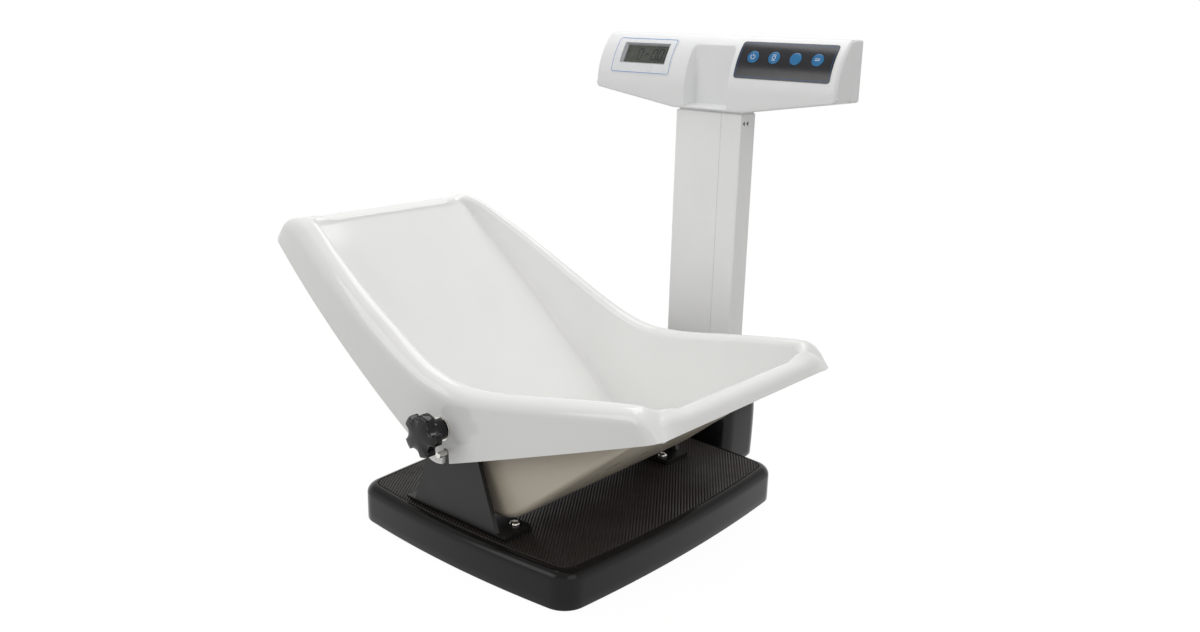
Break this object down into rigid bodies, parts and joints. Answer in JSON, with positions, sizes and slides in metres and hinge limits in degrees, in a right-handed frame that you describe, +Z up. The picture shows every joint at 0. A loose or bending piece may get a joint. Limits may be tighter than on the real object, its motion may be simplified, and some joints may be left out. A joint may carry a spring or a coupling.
{
  "type": "baby weighing scale",
  "caption": "Digital baby weighing scale: low platform, removable moulded reclining seat on side brackets with knobs, rear column and a display head with keys.",
  "frame": {"origin": "bottom centre of the bounding box, on the floor under the feet", "axes": "+X along the seat towards its foot end, +Y towards the column and away from the user, +Z up"},
  "size_m": [0.5336, 0.4676, 0.491],
  "materials": {
    "seat": "gloss",
    "shell": "satin",
    "column": "satin powder coat",
    "mat": "ribbed matt",
    "foot": "matt",
    "deck": "satin black",
    "bracket": "semi-gloss powder coat",
    "boot": "fine texture",
    "knob": "gloss",
    "nickel": "bright nickel",
    "steel": "zinc plated",
    "alloy": "milled",
    "brass": "turned",
    "bezel": "satin",
    "window": "clear",
    "lcd": "dark grey-green",
    "label": "printed film, white with a blue frame",
    "keypad": "printed film, charcoal with a thin blue line",
    "key": "gloss blue",
    "board": "solder mask",
    "switch": "moulded",
    "cell": "printed sleeve, bare of words",
    "cable": "satin jacket"
  },
  "bodies": {
    "scale": {"platform_cover": "deck", "platform_mat": "mat", "base_plate": "steel", "rubber_feet": "foot", "top_frame": "steel", "load_cell": "alloy", "load_cell_spacers": "steel", "load_cell_bolts": "steel", "bracket_screws": "nickel", "bracket_nuts": "steel", "seat_shell": "seat", "column_bracket": "steel", "base_screws": "steel", "boot_screws": "nickel", "column_screws": "nickel", "column": "column", "column_boot": "boot", "head_front": "shell", "head_rear": "shell", "head_screws": "nickel", "column_cap": "switch", "cap_side_screws": "nickel", "cap_top_screws": "nickel", "display_label": "label", "keypad_film": "keypad", "display_bezel": "bezel", "display_window": "window", "lcd_module": "lcd", "main_board": "board", "key_board": "board", "key_switches": "switch", "batteries": "cell", "battery_tray": "switch", "battery_contacts": "nickel", "power_inlet": "switch", "signal_cable": "cable", "near_bracket": "bracket", "near_insert": "brass", "near_locating_pin": "nickel", "far_bracket": "bracket", "far_insert": "brass", "far_locating_pin": "nickel"},
    "near_washer": {"near_washer": "nickel"},
    "near_knob": {"near_knob": "knob", "near_stud": "nickel"},
    "far_washer": {"far_washer": "nickel"},
    "far_knob": {"far_knob": "knob", "far_stud": "nickel"},
    "key_1": {"key_1": "key"},
    "key_2": {"key_2": "key"},
    "key_3": {"key_3": "key"},
    "key_4": {"key_4": "key"},
    "battery_door": {"battery_door": "shell"}
  },
  "joints": [
    {"name": "near_knob_travel", "type": "slide", "parent": "scale", "child": "near_washer", "axis": [0, -1, 0], "range_m": [0, 0.00624]},
    {"name": "near_knob_turn", "type": "hinge", "parent": "near_washer", "child": "near_knob", "pos_m": [0.02875, -0.20678, 0.1382], "axis": [0, -1, 0], "range_deg": [0, 1800]},
    {"name": "far_knob_travel", "type": "slide", "parent": "scale", "child": "far_washer", "axis": [0, 1, 0], "range_m": [0, 0.00624]},
    {"name": "far_knob_turn", "type": "hinge", "parent": "far_washer", "child": "far_knob", "pos_m": [0.02875, 0.10734, 0.1382], "axis": [0, 1, 0], "range_deg": [0, 1800]},
    {"name": "key_1_press", "type": "slide", "parent": "scale", "child": "key_1", "axis": [0, 0.8731, -0.4875], "range_m": [0, 0.0005], "stiffness_N_per_m": 2500, "springref_m": -0.0003},
    {"name": "key_2_press", "type": "slide", "parent": "scale", "child": "key_2", "axis": [0, 0.8731, -0.4875], "range_m": [0, 0.0005], "stiffness_N_per_m": 2500, "springref_m": -0.0003},
    {"name": "key_3_press", "type": "slide", "parent": "scale", "child": "key_3", "axis": [0, 0.8731, -0.4875], "range_m": [0, 0.0005], "stiffness_N_per_m": 2500, "springref_m": -0.0003},
    {"name": "key_4_press", "type": "slide", "parent": "scale", "child": "key_4", "axis": [0, 0.8731, -0.4875], "range_m": [0, 0.0005], "stiffness_N_per_m": 2500, "springref_m": -0.0003},
    {"name": "battery_door_swing", "type": "hinge", "parent": "scale", "child": "battery_door", "pos_m": [0.13325, 0.22978, 0.4355], "axis": [-1, 0, 0], "range_deg": [0, 95]}
  ],
  "couplings": [
    {"joint": "near_knob_turn", "follows": "near_knob_travel", "rad_per_m": 5026.5},
    {"joint": "far_knob_turn", "follows": "far_knob_travel", "rad_per_m": 5026.5}
  ]
}
